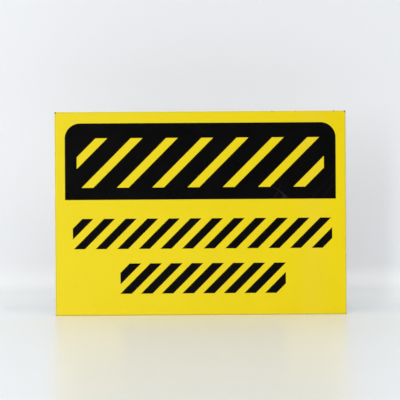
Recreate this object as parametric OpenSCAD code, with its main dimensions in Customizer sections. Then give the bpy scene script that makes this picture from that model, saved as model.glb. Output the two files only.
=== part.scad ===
// Warning sign folded from one metal sheet.
// The blank has clipped corners, and its four edges are turned back behind the face in an open hem.
// The face looks along -Y, +Z is up, and the origin is the centre of the finished sign.

/* [Face] */
// Width of the finished sign
sign_w = 254; // [120:1:600]
// Height of the finished sign
sign_h = 177.8; // [80:0.2:450]
// Thickness of the sheet
sheet_t = 0.4; // [0.3:0.05:1.2]

/* [Hem] */
// Inside radius of the turned edge, which is half the gap between the face and the hem
fold_r = 0.3; // [0.15:0.05:2]
// Width of the flat hem behind the face, inward from the fold
hem_w = 8; // [4:0.5:20]
// Radius on the free corners of the hem
hem_corner_r = 1.5; // [0.3:0.1:3]

/* [Corners] */
// How far each fold stops short of the crossing of the fold lines, which leaves a slit along the mitre
corner_relief = 0.15; // [0.1:0.05:1]

/* [Hidden] */
$fn = 64;

// Outside radius of the turned edge
fold_out = fold_r + sheet_t;
// Finished depth, from the printed face to the back of the hem
sign_d = 2 * fold_out;
// Back sides of the face and of the hem
face_back_y = -sign_d / 2 + sheet_t;
hem_back_y = sign_d / 2;
// Distances from the centre to the fold lines
fold_x = sign_w / 2 - fold_out;
fold_z = sign_h / 2 - fold_out;
// Half the length of the long and of the short folds
half_run_x = fold_x - corner_relief;
half_run_z = fold_z - corner_relief;
// The mitred end of a hem meets its free edge at this angle
mitre_angle = 135;
// Radius of that corner, which a narrow hem limits
free_corner_r = min(hem_corner_r, hem_w / 2);
// How far its rounding reaches along each of its two edges
round_reach = free_corner_r / tan(mitre_angle / 2);

// A plan drawn in X and Z becomes a layer of sheet whose back side lies at back_y
module sheet_layer(back_y) {
    translate([0, back_y, 0])
        rotate([90, 0, 0])
            linear_extrude(height = sheet_t)
                children();
}

// Flat panel inside the fold lines, its corners clipped at 45 degrees between the folds
module face_panel() {
    sheet_layer(face_back_y)
        polygon([
            [-half_run_x, -fold_z],
            [half_run_x, -fold_z],
            [fold_x, -half_run_z],
            [fold_x, half_run_z],
            [half_run_x, fold_z],
            [-half_run_x, fold_z],
            [-fold_x, half_run_z],
            [-fold_x, -half_run_z],
        ]);
}

// Section of the turned edge: X runs outward from the fold line, and Y through the depth
module fold_section() {
    intersection() {
        difference() {
            circle(r = fold_out);
            circle(r = fold_r);
        }
        translate([0, -fold_out])
            square([fold_out, sign_d]);
    }
}

// Turned edge that carries the sheet round through half a turn, mitred to meet its neighbours at the corners
module turned_edge(half_run) {
    outer_half = half_run + fold_out;
    intersection() {
        rotate([0, -90, 0])
            linear_extrude(height = 2 * outer_half, center = true)
                fold_section();
        rotate([90, 0, 0])
            linear_extrude(height = 2 * sign_d, center = true)
                polygon([[-half_run, 0], [half_run, 0], [outer_half, fold_out], [-outer_half, fold_out]]);
    }
}

// Plan of one hem, mitred at 45 degrees from the ends of its fold, with rounded free corners
module hem_plan(half_run) {
    free_half = half_run - hem_w;
    slant_reach = round_reach / sqrt(2);
    polygon([
        [-half_run, 0],
        [half_run, 0],
        [free_half + slant_reach, -hem_w + slant_reach],
        [free_half - round_reach, -hem_w],
        [-free_half + round_reach, -hem_w],
        [-free_half - slant_reach, -hem_w + slant_reach],
    ]);
    for (side = [-1, 1])
        translate([side * (free_half - round_reach), -hem_w + free_corner_r])
            circle(r = free_corner_r);
}

// One side of the border: its turned edge and the hem behind the face
module folded_side(turn, fold_line, half_run) {
    rotate([0, turn, 0])
        translate([0, 0, fold_line]) {
            turned_edge(half_run);
            sheet_layer(hem_back_y)
                hem_plan(half_run);
        }
}

// The whole sign, which is one piece of sheet
module sign_sheet() {
    color("gold") {
        face_panel();
        for (turn = [0, 180])
            folded_side(turn, fold_z, half_run_x);
        for (turn = [90, 270])
            folded_side(turn, fold_x, half_run_z);
    }
}

sign_sheet();
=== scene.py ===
# Warning sign: one folded sheet with yellow enamel outside, bare metal inside and black print on the face.
import math

import bmesh
import bpy
from mathutils import Matrix, Vector, noise


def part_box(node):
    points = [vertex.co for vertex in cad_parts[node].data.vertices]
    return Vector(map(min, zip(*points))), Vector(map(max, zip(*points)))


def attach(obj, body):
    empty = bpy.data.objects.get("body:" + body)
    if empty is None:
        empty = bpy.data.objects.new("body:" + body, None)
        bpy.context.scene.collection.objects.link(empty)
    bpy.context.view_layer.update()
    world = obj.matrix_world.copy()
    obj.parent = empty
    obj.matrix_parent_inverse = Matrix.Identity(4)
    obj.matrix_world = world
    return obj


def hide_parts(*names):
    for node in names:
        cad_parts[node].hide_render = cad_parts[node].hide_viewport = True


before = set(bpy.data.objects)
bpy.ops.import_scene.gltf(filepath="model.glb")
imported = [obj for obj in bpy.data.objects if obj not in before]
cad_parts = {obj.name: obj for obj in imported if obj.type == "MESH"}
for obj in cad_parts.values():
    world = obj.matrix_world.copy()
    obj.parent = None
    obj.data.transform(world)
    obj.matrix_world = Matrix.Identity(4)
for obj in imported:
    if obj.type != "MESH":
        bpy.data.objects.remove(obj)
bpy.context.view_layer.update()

MM = 0.001

# Sheet, from the frame and from the sizes that the folded sheet is made to
SHEET_LOW, SHEET_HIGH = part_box("sign_sheet")
SIGN_W = SHEET_HIGH.x - SHEET_LOW.x
SIGN_H = SHEET_HIGH.z - SHEET_LOW.z
FOLD_OUT = (SHEET_HIGH.y - SHEET_LOW.y) / 2
SHEET_T = 0.4 * MM
HEM_W = 8 * MM
HEM_CORNER_R = 1.5 * MM
CORNER_RELIEF = 0.15 * MM
FOLD_X = SIGN_W / 2 - FOLD_OUT
FOLD_Z = SIGN_H / 2 - FOLD_OUT
RUN_X = FOLD_X - CORNER_RELIEF
RUN_Z = FOLD_Z - CORNER_RELIEF
SIGN_TOP = SIGN_H / 2

# Shape of the thin face between its folds
CROWN = 0.16 * MM
CROWN_SPAN = 85 * MM
CROWN_EDGE = 24 * MM
CROWN_SEED = 4.7

# Mesh of the sheet: points along each side, steps round the bend, across the hem and round its free corners.
# Points are joined where they agree to KEY_DIGITS places. At these counts no grid line is on a rounding limit.
COUNT_X = 61
COUNT_Z = 45
BEND_STEPS = 12
HEM_STEPS = 5
ROUND_STEPS = 4
KEY_DIGITS = 6

# Rounding of its cut edges
CUT_EDGE_W = 0.02 * MM
CUT_EDGE_STEPS = 2
CUT_EDGE_ANGLE = 60
SHARP_ANGLE = 40

# Print on the face, with heights measured down from the top edge
INK_T = 0.03 * MM
HEADER_W = 236.4 * MM
HEADER_H = 66.8 * MM
HEADER_DROP = 10.0 * MM
HEADER_R = 13.3 * MM
HEADER_R_STEPS = 16

# Striped bands: width, height, drop to the middle, middle in X, number of stripes and their share of the band
HEADER_BAND = (215.7 * MM, 43.2 * MM, 44.6 * MM, 0.0, 7, 0.335)
UPPER_BAND = (226.4 * MM, 26.4 * MM, 106.5 * MM, 1.6 * MM, 12, 0.505)
LOWER_BAND = (144.4 * MM, 26.4 * MM, 145.6 * MM, 1.9 * MM, 8, 0.555)

# Lines across the print at which it can follow the face, and the gap below which two of its points are one
PRINT_LINES_X = 49
PRINT_LINES_Z = 33
WELD = 0.002 * MM


def smooth_step(t):
    t = min(max(t, 0.0), 1.0)
    return t * t * (3 - 2 * t)


def face_depth(x, z):
    """Y of the outer side of the face, which bows inward a little between the stiff folds."""
    inset = min(FOLD_X - abs(x), FOLD_Z - abs(z))
    wave = 0.5 + 0.5 * noise.noise(Vector((x / CROWN_SPAN, z / CROWN_SPAN, CROWN_SEED)))
    return -FOLD_OUT + CROWN * wave * smooth_step(inset / CROWN_EDGE)


def spread(low, high, count):
    """Evenly spaced values from low to high, both ends included."""
    return [low + (high - low) * i / (count - 1) for i in range(count)]


# Materials

# Yellow enamel: its two tones, painted light that pales its left end, a streak, and its marks, with painted
# shade along the folds and at the corners
ENAMEL_DEEP = (0.836, 0.645, 0.0030, 1)
ENAMEL_LIGHT = (0.862, 0.673, 0.0048, 1)
# Painted light on the left end
ENAMEL_LEFT_PAINTED_LIGHT = (0.889, 0.706, 0.016, 1)
ENAMEL_STREAK = (0.852, 0.658, 0.017, 1)
ENAMEL_SPECK = (0.42, 0.30, 0.02, 1)
ENAMEL_SMUDGE = (0.50, 0.36, 0.02, 1)
# Painted shade of the rounded folds
ENAMEL_FOLD_SHADE = (0.68, 0.57, 0.021, 1)
# Chips and flakes, and painted shade in the corner notches
ENAMEL_CHIP_AND_SHADE = (0.045, 0.036, 0.022, 1)
ENAMEL_GRAIN = 0.004 * MM

# How far the painted light of the paler left end reaches in from the left edge, and the middle and half width
# of the streak
PAINTED_LIGHT_REACH = 254 * MM
STREAK_X = 97.4 * MM
STREAK_REACH = 17 * MM

# Distances from an edge or a corner at which each mark ends and at which it is full
FOLD_SHADE_BAND = (1.3 * MM, 0.6 * MM)
FLAKES = (0.9 * MM, 0.7 * MM)
CORNER_CHIP_AND_SHADE = (1.7 * MM, 1.4 * MM)
CORNER_DARK_RAGGED = 0.5 * MM
# How much smaller the dark corner spots, chips with painted shade, are at the lower corners
CORNER_DARK_LESS_BELOW = 0.55 * MM

# Black ink
INK_DEEP = (0.0015, 0.0015, 0.0015, 1)
INK_HAZE = (0.0027, 0.0027, 0.0028, 1)
INK_SCRATCH = (0.030, 0.031, 0.034, 1)
INK_DUST = (0.10, 0.10, 0.10, 1)
INK_GRAIN = 0.003 * MM

# Bare tinplate, with the grain of its rolling along X
TIN_DULL = (0.54, 0.54, 0.53, 1)
TIN_BRIGHT = (0.62, 0.62, 0.61, 1)
TIN_LINE = (0.40, 0.40, 0.40, 1)
TIN_SCRATCH = (0.80, 0.80, 0.79, 1)
TIN_SPOT = (0.33, 0.29, 0.25, 1)
TIN_GRAIN = 0.004 * MM
TIN_ROLLED = (1, 40, 40)


class Nodes:
    """Small helper that adds and links shader nodes."""

    def __init__(self, name):
        self.material = bpy.data.materials.new(name)
        self.material.use_nodes = True
        self.tree = self.material.node_tree
        self.shader = self.tree.nodes["Principled BSDF"]

    def add(self, kind, inputs=(), **settings):
        node = self.tree.nodes.new("ShaderNode" + kind)
        for key, value in settings.items():
            setattr(node, key, value)
        for key, value in dict(inputs).items():
            self.put(node.inputs[key], value)
        return node

    def put(self, socket, value):
        if isinstance(value, bpy.types.NodeSocket):
            self.tree.links.new(value, socket)
        else:
            socket.default_value = value

    def coordinates(self, scale=(1, 1, 1)):
        place = self.add("TexCoord").outputs["Object"]
        return self.add("Mapping", {"Vector": place, "Scale": scale}).outputs["Vector"]

    def axis(self, name):
        """One coordinate of the point: X, Y or Z."""
        return self.add("SeparateXYZ", {"Vector": self.coordinates()}).outputs[name]

    def noise(self, scale, detail=2.0, rough=0.5, vector=None):
        vector = vector or self.coordinates()
        node = self.add("TexNoise", {"Vector": vector, "Scale": scale, "Detail": detail, "Roughness": rough})
        return node.outputs["Fac"]

    def ramp(self, value, low, high, low_out=0.0, high_out=1.0):
        node = self.add("MapRange", {"Value": value, "From Min": low, "From Max": high, "To Min": low_out,
                                     "To Max": high_out})
        return node.outputs["Result"]

    def math(self, kind, a, b=0.0):
        return self.add("Math", {0: a, 1: b}, operation=kind).outputs[0]

    def mix(self, share, a, b):
        node = self.add("Mix", data_type="RGBA")
        self.put(node.inputs["Factor"], share)
        self.put(node.inputs["A"], a)
        self.put(node.inputs["B"], b)
        return node.outputs["Result"]

    def hairlines(self, turn, offset):
        """Fine scratches that run at an angle and fade in and out."""
        field = self.add("Mapping", {"Vector": self.coordinates(), "Rotation": (0, turn, 0), "Scale": (1, 1, 9),
                                     "Location": (offset, 0, 0)}, vector_type="TEXTURE")
        wander = self.noise(26.0, 1.0, 0.3, field.outputs["Vector"])
        line = self.ramp(self.math("ABSOLUTE", self.math("SUBTRACT", wander, 0.5)), 0.0012, 0.0003)
        return self.math("MULTIPLY", line, self.ramp(self.noise(31.0, 2.0), 0.50, 0.62))

    def outline_gaps(self):
        """Distances to the nearest edge and to the nearest corner of the sign, in the plane of its face."""
        gap_x = self.math("SUBTRACT", SIGN_W / 2, self.math("ABSOLUTE", self.axis("X")))
        gap_z = self.math("SUBTRACT", SIGN_H / 2, self.math("ABSOLUTE", self.axis("Z")))
        gaps = self.add("CombineXYZ", {"X": gap_x, "Z": gap_z}).outputs["Vector"]
        corner = self.add("VectorMath", {0: gaps}, operation="LENGTH")
        return self.math("MINIMUM", gap_x, gap_z), corner.outputs["Value"]

    def upright_stripe(self, middle, reach):
        """A soft upright stripe round one X, which is 1 along its middle and 0 from reach on."""
        off = self.math("ABSOLUTE", self.math("SUBTRACT", self.axis("X"), middle))
        return self.ramp(off, reach, 0.0)

    def bump(self, height, distance):
        node = self.add("Bump", {"Height": height, "Distance": distance})
        self.put(self.shader.inputs["Normal"], node.outputs["Normal"])

    def set(self, **values):
        for key, value in values.items():
            self.put(self.shader.inputs[key.replace("_", " ")], value)


def yellow_enamel():
    n = Nodes("yellow_enamel")
    tone = n.mix(n.ramp(n.noise(14.0, 3.0), 0.35, 0.65), ENAMEL_DEEP, ENAMEL_LIGHT)
    # Painted light from the left: the yellow grows paler and bluer towards the left edge
    tone = n.mix(n.upright_stripe(-SIGN_W / 2, PAINTED_LIGHT_REACH), tone, ENAMEL_LEFT_PAINTED_LIGHT)
    tone = n.mix(n.upright_stripe(STREAK_X, STREAK_REACH), tone, ENAMEL_STREAK)
    # Small specks and larger smudges
    speck = n.ramp(n.noise(950.0, 1.0), 0.755, 0.80)
    tone = n.mix(n.math("MULTIPLY", speck, 0.28), tone, ENAMEL_SPECK)
    smudge = n.ramp(n.noise(75.0, 2.0, 0.6, n.coordinates(scale=(1, 1, 0.7))), 0.70, 0.78)
    tone = n.mix(n.math("MULTIPLY", smudge, 0.10), tone, ENAMEL_SMUDGE)
    # Painted shade: a darker, uneven band along the rounded folds
    near_edge, near_corner = n.outline_gaps()
    fold_shade_unevenness = n.ramp(n.noise(90.0, 3.0, 0.6), 0.3, 0.7, 0.65, 1.0)
    tone = n.mix(n.math("MULTIPLY", n.ramp(near_edge, *FOLD_SHADE_BAND), fold_shade_unevenness), tone, ENAMEL_FOLD_SHADE)
    # Flakes along the folds, and ragged dark spots at the corners that are chipped enamel with painted shade of
    # the corner notch
    flake = n.ramp(n.noise(330.0, 2.0, 0.6), 0.69, 0.72)
    flake = n.math("MULTIPLY", flake, n.ramp(near_edge, *FLAKES))
    ragged = n.ramp(n.noise(1300.0, 3.0, 0.6), 0.2, 0.8, -CORNER_DARK_RAGGED, CORNER_DARK_RAGGED)
    lower = n.ramp(n.axis("Z"), -SIGN_H / 2, SIGN_H / 2, CORNER_DARK_LESS_BELOW, 0.0)
    reach = n.math("ADD", n.math("ADD", near_corner, ragged), lower)
    chip_and_shade = n.math("MAXIMUM", flake, n.ramp(reach, *CORNER_CHIP_AND_SHADE))
    tone = n.mix(chip_and_shade, tone, ENAMEL_CHIP_AND_SHADE)
    n.set(Base_Color=tone, Metallic=0.0, IOR=1.5, Specular_IOR_Level=0.17)
    satin = n.ramp(n.noise(30.0, 3.0), 0.3, 0.7, 0.30, 0.38)
    n.set(Roughness=n.math("MAXIMUM", satin, n.math("MULTIPLY", chip_and_shade, 0.6)))
    n.bump(n.noise(700.0, 2.0), ENAMEL_GRAIN)
    return n.material


def black_ink():
    n = Nodes("black_ink")
    tone = n.mix(n.ramp(n.noise(48.0, 4.0, 0.6), 0.45, 0.75), INK_DEEP, INK_HAZE)
    scuff = n.math("MAXIMUM", n.hairlines(0.6, 9.0), n.hairlines(2.1, 4.0))
    tone = n.mix(n.math("MULTIPLY", scuff, 0.5), tone, INK_SCRATCH)
    dust = n.ramp(n.noise(1500.0, 1.0), 0.76, 0.80)
    tone = n.mix(n.math("MULTIPLY", dust, 0.4), tone, INK_DUST)
    satin = n.ramp(n.noise(40.0, 3.0), 0.3, 0.7, 0.26, 0.34)
    n.set(Base_Color=tone, Metallic=0.0, IOR=1.45, Specular_IOR_Level=0.09, Roughness=satin)
    n.bump(n.noise(1100.0, 2.0), INK_GRAIN)
    return n.material


def bare_tinplate():
    n = Nodes("bare_tinplate")
    grain = n.noise(60.0, 3.0, 0.6, n.coordinates(scale=TIN_ROLLED))
    lines = n.noise(9.0, 2.0, 0.6, n.coordinates(scale=TIN_ROLLED))
    tone = n.mix(n.ramp(n.noise(26.0, 3.0), 0.35, 0.7), TIN_DULL, TIN_BRIGHT)
    tone = n.mix(n.ramp(grain, 0.35, 0.65, 0.0, 0.22), tone, TIN_LINE)
    tone = n.mix(n.math("MULTIPLY", n.hairlines(1.2, 2.0), 0.5), tone, TIN_SCRATCH)
    spot = n.ramp(n.noise(260.0, 3.0, 0.65), 0.70, 0.76)
    tone = n.mix(n.math("MULTIPLY", spot, 0.4), tone, TIN_SPOT)
    brushed = n.math("ADD", lines, n.math("MULTIPLY", grain, 0.5))
    n.set(Base_Color=tone, Metallic=1.0, Roughness=n.ramp(brushed, 0.5, 1.0, 0.30, 0.44))
    n.bump(grain, TIN_GRAIN)
    return n.material


YELLOW = yellow_enamel()
BLACK = black_ink()
TIN = bare_tinplate()


# The folded sheet


def side_place(side):
    """Maps (along, outward) of one side of the border to X and Z."""
    turn = Matrix.Rotation(-side * math.pi / 2, 2)
    reach = (FOLD_Z, FOLD_X)[side % 2]

    def place(along, outward):
        v = turn @ Vector((along, reach + outward))
        return v.x, v.y

    return place


def border_rows(run, depth):
    """Rows of one side at a depth under its outer skin, from the fold line round to the free edge of the hem.

    Each row is its outward place, its Y and its half length, which follows the 45 degree mitre.
    """
    radius = FOLD_OUT - depth
    rows = []
    for angle in spread(0, math.pi, BEND_STEPS + 1):
        outward = radius * math.sin(angle)
        rows.append((outward, -radius * math.cos(angle), run + outward))
    straight = HEM_W - HEM_CORNER_R * (1 - math.cos(math.pi / 4))
    for inward in spread(0, straight, HEM_STEPS + 1)[1:]:
        rows.append((-inward, radius, run - inward))
    rounding = run - HEM_W - HEM_CORNER_R * math.tan(math.pi / 8)
    for angle in spread(math.pi / 4, 0, ROUND_STEPS + 1)[1:]:
        inward = HEM_W - HEM_CORNER_R * (1 - math.cos(angle))
        rows.append((-inward, radius, rounding + HEM_CORNER_R * math.sin(angle)))
    return rows


def sheet_mesh():
    """The sheet as two skins with the same grid, joined round every cut edge."""
    outer, inner, found, faces = [], [], {}, []

    def pair(outside, inside):
        """Number of a point of the outer skin, with the one under it. Points that meet are found again."""
        key = tuple(round(c, KEY_DIGITS) for c in outside)
        if key not in found:
            found[key] = len(outer)
            outer.append(outside)
            inner.append(inside)
        return found[key]

    # The face between the fold lines, without its four corner points
    xs = [-FOLD_X, *spread(-RUN_X, RUN_X, COUNT_X), FOLD_X]
    zs = [-FOLD_Z, *spread(-RUN_Z, RUN_Z, COUNT_Z), FOLD_Z]
    last_i, last_j = len(xs) - 1, len(zs) - 1
    for i in range(last_i):
        for j in range(last_j):
            ring = [(i, j), (i + 1, j), (i + 1, j + 1), (i, j + 1)]
            face = []
            for a, b in ring:
                if a not in (0, last_i) or b not in (0, last_j):
                    x, z = xs[a], zs[b]
                    y = face_depth(x, z)
                    face.append(pair((x, y, z), (x, y + SHEET_T, z)))
            faces.append(face)

    # The turned edge and the hem of each side
    for side in range(4):
        place = side_place(side)
        run = (RUN_X, RUN_Z)[side % 2]
        count = (COUNT_X, COUNT_Z)[side % 2]
        lines = []
        for (out_a, y_a, half_a), (out_b, y_b, half_b) in zip(border_rows(run, 0), border_rows(run, SHEET_T)):
            line = []
            for t in spread(-1, 1, count):
                (xa, za), (xb, zb) = place(t * half_a, out_a), place(t * half_b, out_b)
                line.append(pair((xa, y_a, za), (xb, y_b, zb)))
            lines.append(line)
        for a, b in zip(lines, lines[1:]):
            for k in range(count - 1):
                faces.append([a[k], a[k + 1], b[k + 1], b[k]])

    # A cut edge closes the sheet wherever only one face uses an edge
    used = dict.fromkeys((a, b) for face in faces for a, b in zip(face, face[1:] + face[:1]))
    n = len(outer)
    cut = [[b, a, a + n, b + n] for a, b in used if (b, a) not in used]
    under = [[v + n for v in reversed(face)] for face in faces]
    mesh = bpy.data.meshes.new("turned_sheet")
    mesh.from_pydata(outer + inner, [], faces + under + cut)
    mesh.polygons.foreach_set("material_index", [0] * len(faces) + [1] * (len(under) + len(cut)))
    return mesh


def made_mesh(obj):
    """The mesh that an object gives once its curve or its modifiers are worked out."""
    return bpy.data.meshes.new_from_object(obj.evaluated_get(bpy.context.evaluated_depsgraph_get()))


def add_piece(name, mesh, materials):
    obj = bpy.data.objects.new(name, mesh)
    bpy.context.scene.collection.objects.link(obj)
    for material in materials:
        mesh.materials.append(material)
    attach(obj, "root")
    return obj


def turned_sheet():
    sheet = add_piece("turned_sheet", sheet_mesh(), [YELLOW, TIN])
    edge = sheet.modifiers.new("cut_edge", "BEVEL")
    edge.width = CUT_EDGE_W
    edge.segments = CUT_EDGE_STEPS
    edge.limit_method = "ANGLE"
    edge.angle_limit = math.radians(CUT_EDGE_ANGLE)
    made = made_mesh(sheet)
    made.name = sheet.name
    sheet.modifiers.clear()
    sheet.data = made
    # Smooth but for its real corners
    made.polygons.foreach_set("use_smooth", [True] * len(made.polygons))
    made.set_sharp_from_angle(angle=math.radians(SHARP_ANGLE))
    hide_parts("sign_sheet")


# The print


def weld(bm):
    """Merges points that lie within a few microns of each other, and the slivers between them."""
    bmesh.ops.remove_doubles(bm, verts=bm.verts, dist=WELD)
    bmesh.ops.dissolve_degenerate(bm, edges=bm.edges, dist=WELD)


def ink(name, outlines):
    """A thin film with these outlines in X and Z, which follows the face.

    An outline inside another is a hole.
    """
    curve = bpy.data.curves.new(name, "CURVE")
    curve.dimensions = "2D"
    curve.fill_mode = "BOTH"
    curve.extrude = INK_T / 2
    for outline in outlines:
        spline = curve.splines.new("POLY")
        spline.points.add(len(outline) - 1)
        for point, (x, z) in zip(spline.points, outline):
            point.co = (x, z, 0, 1)
        spline.use_cyclic_u = True
    flat = bpy.data.objects.new(name, curve)
    bpy.context.scene.collection.objects.link(flat)
    mesh = made_mesh(flat)
    bpy.data.objects.remove(flat)
    bm = bmesh.new()
    bm.from_mesh(mesh)
    weld(bm)
    cuts = [(x, Vector((1, 0, 0))) for x in spread(-RUN_X, RUN_X, PRINT_LINES_X)]
    cuts += [(z, Vector((0, 1, 0))) for z in spread(-RUN_Z, RUN_Z, PRINT_LINES_Z)]
    for at, normal in cuts:
        geom = bm.verts[:] + bm.edges[:] + bm.faces[:]
        bmesh.ops.bisect_plane(bm, geom=geom, plane_co=normal * at, plane_no=normal)
    weld(bm)
    for v in bm.verts:
        x, z, out = v.co
        v.co = (x, face_depth(x, z) - out - INK_T / 2, z)
    bmesh.ops.recalc_face_normals(bm, faces=bm.faces)
    bm.to_mesh(mesh)
    bm.free()
    add_piece(name, mesh, [BLACK])
    mesh.set_sharp_from_angle(angle=math.radians(SHARP_ANGLE))


def clipped(outline, low, high):
    """The part of a convex outline between two X values."""
    for limit, keep in ((low, 1), (high, -1)):
        kept = []
        for (ax, az), (bx, bz) in zip(outline, outline[1:] + outline[:1]):
            a_in, b_in = keep * (ax - limit) >= 0, keep * (bx - limit) >= 0
            if a_in:
                kept.append((ax, az))
            if a_in != b_in:
                t = (limit - ax) / (bx - ax)
                kept.append((limit, az + t * (bz - az)))
        outline = kept
    return outline


def stripes(width, height, drop, middle_x, count, share):
    """Outlines of 45 degree stripes in a band.

    A stripe runs through the middle of each end, so the ends match.
    """
    low, high = middle_x - width / 2, middle_x + width / 2
    bottom, top = SIGN_TOP - drop - height / 2, SIGN_TOP - drop + height / 2
    pitch = width / count
    half = share * pitch / 2
    outlines = []
    for k in range(count + 1):
        x = low + k * pitch
        bar = [(x - height / 2 - half, bottom), (x - height / 2 + half, bottom),
               (x + height / 2 + half, top), (x + height / 2 - half, top)]
        outlines.append(clipped(bar, low, high))
    return outlines


def header_outline():
    """Field with square lower corners and rounded upper ones."""
    top = SIGN_TOP - HEADER_DROP
    bottom = top - HEADER_H
    half = HEADER_W / 2
    points = [(-half, bottom), (half, bottom)]
    for side, start in ((1, 0), (-1, 90)):
        for degrees in spread(start, start + 90, HEADER_R_STEPS + 1):
            angle = math.radians(degrees)
            points.append((side * (half - HEADER_R) + HEADER_R * math.cos(angle),
                           top - HEADER_R + HEADER_R * math.sin(angle)))
    return points


turned_sheet()
ink("header_field", [header_outline(), *stripes(*HEADER_BAND)])
ink("upper_band", stripes(*UPPER_BAND))
ink("lower_band", stripes(*LOWER_BAND))


# Stage: a table that turns up into a wall behind the sign

FLOOR_Z = SHEET_LOW.z
WALL_Y = 122 * MM
WALL_TOP = 1200 * MM
SWEEP_R = 42 * MM
SWEEP_STEPS = 48
# Short flat strips keep the shading of the table and the wall out of the sweep
SWEEP_MARGIN = 2 * MM
TABLE_MIDDLE = -200 * MM
TABLE_FRONT = -520 * MM
STAGE_HALF = 1500 * MM
TABLE_TONE = (0.79, 0.81, 0.82, 1)
WALL_TONE = (0.895, 0.906, 0.933, 1)
BOARD_ROUGHNESS = 0.3


def backdrop_mesh():
    """Table that turns up into the wall in one round sweep."""
    foot_y = WALL_Y - SWEEP_R
    outline = [(TABLE_FRONT, FLOOR_Z), (TABLE_MIDDLE, FLOOR_Z), (foot_y - SWEEP_MARGIN, FLOOR_Z)]
    for angle in spread(0, math.pi / 2, SWEEP_STEPS + 1):
        outline.append((foot_y + SWEEP_R * math.sin(angle), FLOOR_Z + SWEEP_R - SWEEP_R * math.cos(angle)))
    outline += [(WALL_Y, FLOOR_Z + SWEEP_R + SWEEP_MARGIN), (WALL_Y, WALL_TOP)]
    bm = bmesh.new()
    left = [bm.verts.new((-STAGE_HALF, y, z)) for y, z in outline]
    right = [bm.verts.new((STAGE_HALF, y, z)) for y, z in outline]
    for k in range(len(outline) - 1):
        bm.faces.new([left[k], right[k], right[k + 1], left[k + 1]])
    mesh = bpy.data.meshes.new("backdrop")
    bm.to_mesh(mesh)
    bm.free()
    mesh.polygons.foreach_set("use_smooth", [True] * len(mesh.polygons))
    return mesh


def backdrop():
    n = Nodes("pale_board")
    wall = n.ramp(n.axis("Z"), FLOOR_Z, FLOOR_Z + SWEEP_R)
    n.set(Base_Color=n.mix(wall, TABLE_TONE, WALL_TONE), Roughness=BOARD_ROUGHNESS)
    # Seen from behind or below it is clear, so that it never hides the sign
    back = n.add("NewGeometry").outputs["Backfacing"]
    hidden = n.math("MULTIPLY", back, n.add("LightPath").outputs["Is Camera Ray"])
    clear = n.add("BsdfTransparent").outputs["BSDF"]
    board = n.add("MixShader", {0: hidden, 1: n.shader.outputs["BSDF"], 2: clear})
    n.put(n.tree.nodes["Material Output"].inputs["Surface"], board.outputs["Shader"])
    obj = bpy.data.objects.new("backdrop", backdrop_mesh())
    bpy.context.scene.collection.objects.link(obj)
    obj.data.materials.append(n.material)


backdrop()


# Lights

# Name, azimuth, elevation, distance, width, height and watts.
# Azimuth 0 is in front of the sign, and positive is to the left as the camera sees it.
LAMPS = [
    ("key", 26, 12, 3.2, 0.5, 2.0, 21.5),
    ("fill", 0, 54, 2.6, 3.0, 2.1, 38.9),
    ("left", 80, 35, 2.4, 1.5, 1.5, 18),
    ("right", -55, 20, 2.4, 1.0, 1.0, 8.1),
]
ROOM_TONE = (0.95, 0.97, 1.0, 1)
ROOM_LIGHT = 0.20
ROOM_SEEN = 0.8


def lamp(name, azimuth, elevation, distance, width, height, watts):
    """A rectangular lamp that faces the sign."""
    data = bpy.data.lights.new(name, "AREA")
    data.shape = "RECTANGLE"
    data.size = width
    data.size_y = height
    data.energy = watts
    obj = bpy.data.objects.new(name, data)
    a, e = math.radians(azimuth), math.radians(elevation)
    towards = Vector((-math.sin(a) * math.cos(e), -math.cos(a) * math.cos(e), math.sin(e)))
    obj.location = towards * distance
    obj.rotation_euler = towards.to_track_quat("Z", "Y").to_euler()
    bpy.context.scene.collection.objects.link(obj)


def room():
    """Dim room all round, which the camera sees as about the same pale colour as the backdrop."""
    world = bpy.data.worlds.new("room")
    bpy.context.scene.world = world
    world.use_nodes = True
    nodes, links = world.node_tree.nodes, world.node_tree.links
    seen = nodes.new("ShaderNodeLightPath").outputs["Is Camera Ray"]
    strength = nodes.new("ShaderNodeMapRange")
    strength.inputs["To Min"].default_value = ROOM_LIGHT
    strength.inputs["To Max"].default_value = ROOM_SEEN
    links.new(seen, strength.inputs["Value"])
    links.new(strength.outputs["Result"], nodes["Background"].inputs["Strength"])
    nodes["Background"].inputs["Color"].default_value = ROOM_TONE


for settings in LAMPS:
    lamp(*settings)
room()


# Camera, level with the sign and straight in front of it but for a degree or less each way

CAMERA_PLACE = Vector((-3.9, -1000.5, 16.7)) * MM
CAMERA_TURN = -0.196
CAMERA_PITCH = -0.296
CAMERA_ROLL = -0.353
FOCAL_PIXELS = 1145.5
FRAME_PIXELS = 400
SENSOR_WIDTH = 36


def camera():
    data = bpy.data.cameras.new("camera")
    data.sensor_width = SENSOR_WIDTH
    data.lens = SENSOR_WIDTH * FOCAL_PIXELS / FRAME_PIXELS
    obj = bpy.data.objects.new("camera", data)
    turn = Matrix.Rotation(math.radians(CAMERA_TURN), 4, "Z")
    pitch = Matrix.Rotation(math.radians(90 + CAMERA_PITCH), 4, "X")
    roll = Matrix.Rotation(math.radians(CAMERA_ROLL), 4, "Z")
    obj.matrix_world = Matrix.Translation(CAMERA_PLACE) @ turn @ pitch @ roll
    bpy.context.scene.collection.objects.link(obj)
    bpy.context.scene.camera = obj


camera()
bpy.context.scene.view_settings.view_transform = "Standard"
